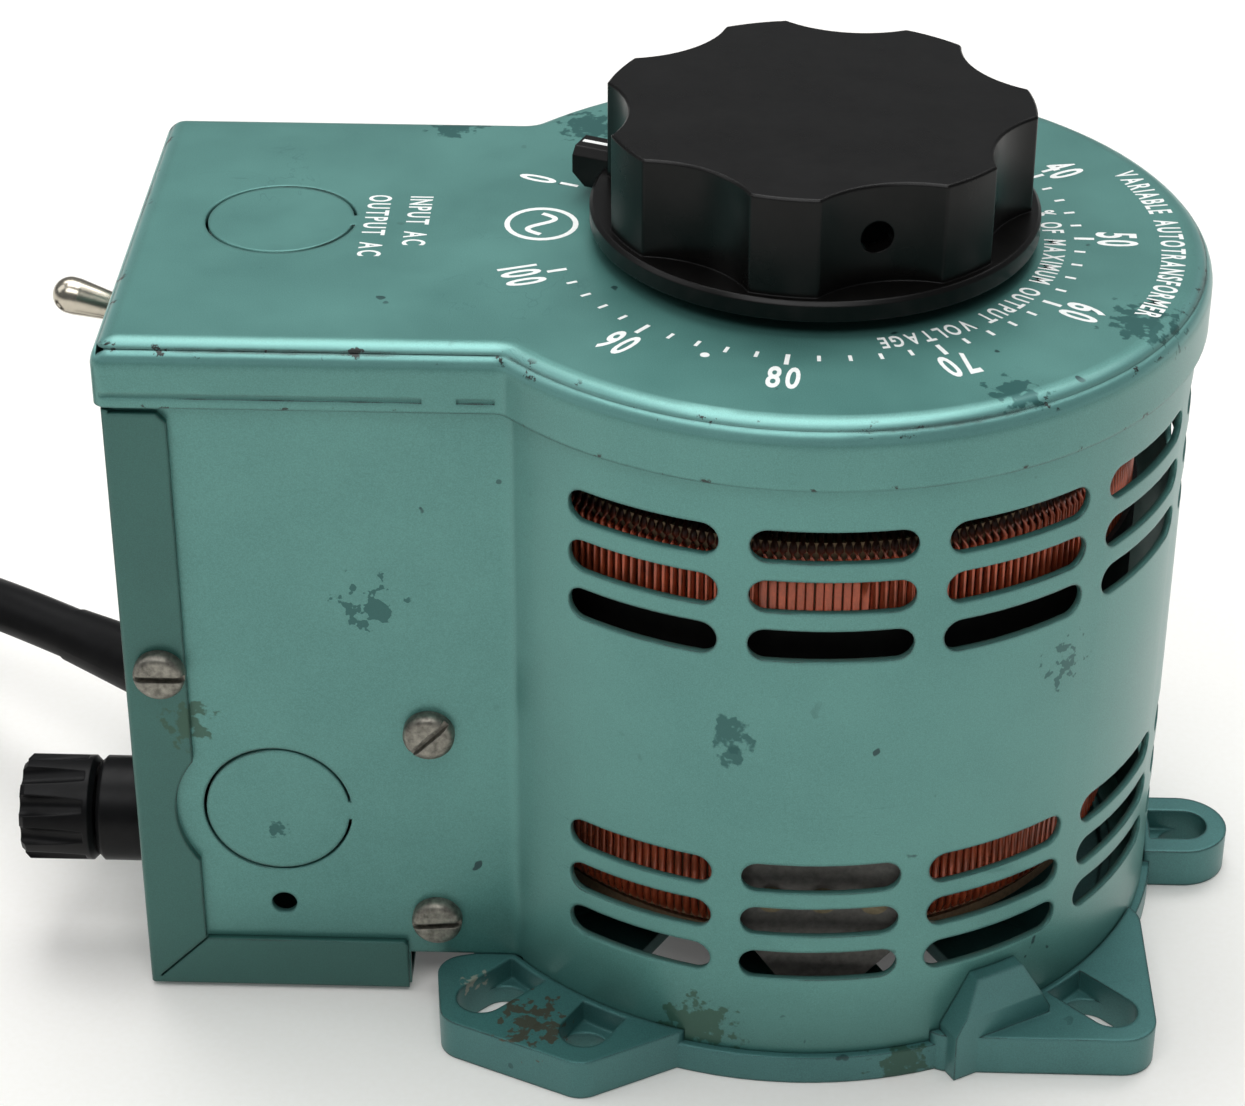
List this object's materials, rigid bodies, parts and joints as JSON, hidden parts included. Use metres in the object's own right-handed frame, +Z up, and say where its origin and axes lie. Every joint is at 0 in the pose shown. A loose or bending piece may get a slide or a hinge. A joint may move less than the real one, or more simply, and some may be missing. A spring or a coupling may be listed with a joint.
{
  "type": "variable autotransformer",
  "caption": "Enclosed variable autotransformer with a dialled knob on top, toggle switch, fuse holder, outlet and mains lead on its end panel, and bolting ears on a cast base.",
  "frame": {"origin": "on the shaft's axis at the underside of the base casting", "axes": "+X from the terminal box to the drum, +Z up along the shaft, the dial's zero towards -X"},
  "size_m": [0.3915, 0.1656, 0.1507],
  "materials": {
    "case_paint": "metallic teal enamel, worn at the edges",
    "base_paint": "teal enamel over cast aluminium",
    "phenolic": "black moulded phenolic, satin",
    "black_plastic": "black moulded plastic",
    "screw_steel": "plated steel, dulled",
    "shaft_steel": "ground steel",
    "bronze": "sintered bronze",
    "brass_parts": "stamped brass",
    "copper": "enamelled copper wire",
    "bare_copper": "ground copper track",
    "core_steel": "laminated silicon steel",
    "insulation": "dark varnished insulation",
    "paper": "pressboard",
    "board": "grey-brown phenolic board",
    "arm_metal": "cast aluminium",
    "carbon": "brush carbon",
    "nickel": "nickel plate",
    "fuse_glass": "clear glass with metal ends",
    "cord_rubber": "black jacket",
    "wire_jacket": "insulated lead",
    "tie": "plastic-coated wire tie"
  },
  "bodies": {
    "root": {"base_casting": "base_paint", "base_screws": "screw_steel", "case_shell": "case_paint", "top_cover": "case_paint", "end_panel": "case_paint", "panel_screws": "screw_steel", "panel_nuts": "screw_steel", "upper_bushing": "bronze", "lower_bushing": "bronze", "thrust_washer": "insulation", "core": "core_steel", "core_cap_lower": "paper", "core_cap_upper": "paper", "core_wrap": "paper", "winding": "copper", "commutator_track": "bare_copper", "insulation_band": "insulation", "coil_seat": "paper", "coil_clamp": "board", "coil_bolts": "screw_steel", "stop_block": "board", "terminal_board": "board", "terminal_lugs": "brass_parts", "terminal_rivets": "brass_parts", "toggle_body": "black_plastic", "toggle_bushing": "nickel", "toggle_nut": "nickel", "fuse_body": "black_plastic", "fuse_nut": "screw_steel", "fuse_contacts": "brass_parts", "outlet_face": "black_plastic", "outlet_strap": "screw_steel", "outlet_screws": "screw_steel", "outlet_contacts": "brass_parts", "hookup_wires": "wire_jacket", "strain_relief": "cord_rubber", "power_cord": "cord_rubber", "cord_coil": "cord_rubber", "cord_tail": "cord_rubber", "cord_tie": "tie", "plug_body": "cord_rubber", "plug_blades": "brass_parts"},
    "rotor": {"shaft": "shaft_steel", "retaining_ring": "screw_steel", "brush_arm": "arm_metal", "arm_set_screw": "screw_steel", "arm_stop_pin": "shaft_steel", "brush_holder": "brass_parts", "brush_spring": "shaft_steel", "knob": "phenolic", "knob_insert": "brass_parts", "knob_set_screw": "screw_steel"},
    "brush": {"carbon_brush": "carbon"},
    "toggle": {"toggle_lever": "nickel"},
    "fuse": {"fuse_link": "fuse_glass"},
    "fuse_knob": {"fuse_cap": "black_plastic"}
  },
  "joints": [
    {"name": "knob_turn", "type": "hinge", "parent": "root", "child": "rotor", "pos_m": [0, 0, 0.1], "axis": [0, 0, -1], "range_deg": [0, 317.7]},
    {"name": "brush_lift", "type": "slide", "parent": "rotor", "child": "brush", "axis": [0, 0, 1], "range_m": [0, 0.0008], "stiffness_N_per_m": 400, "springref_m": -0.003, "deforming": ["brush_spring"]},
    {"name": "toggle_throw", "type": "hinge", "parent": "root", "child": "toggle", "pos_m": [-0.111, 0.007, 0.1052], "axis": [0, -1, 0], "range_deg": [0, 34]},
    {"name": "fuse_pull", "type": "slide", "parent": "root", "child": "fuse", "axis": [-1, 0, 0], "range_m": [0, 0.04]},
    {"name": "fuse_twist", "type": "hinge", "parent": "fuse", "child": "fuse_knob", "pos_m": [-0.123, -0.026, 0.0256], "axis": [-1, 0, 0], "range_deg": [0, 60]}
  ]
}
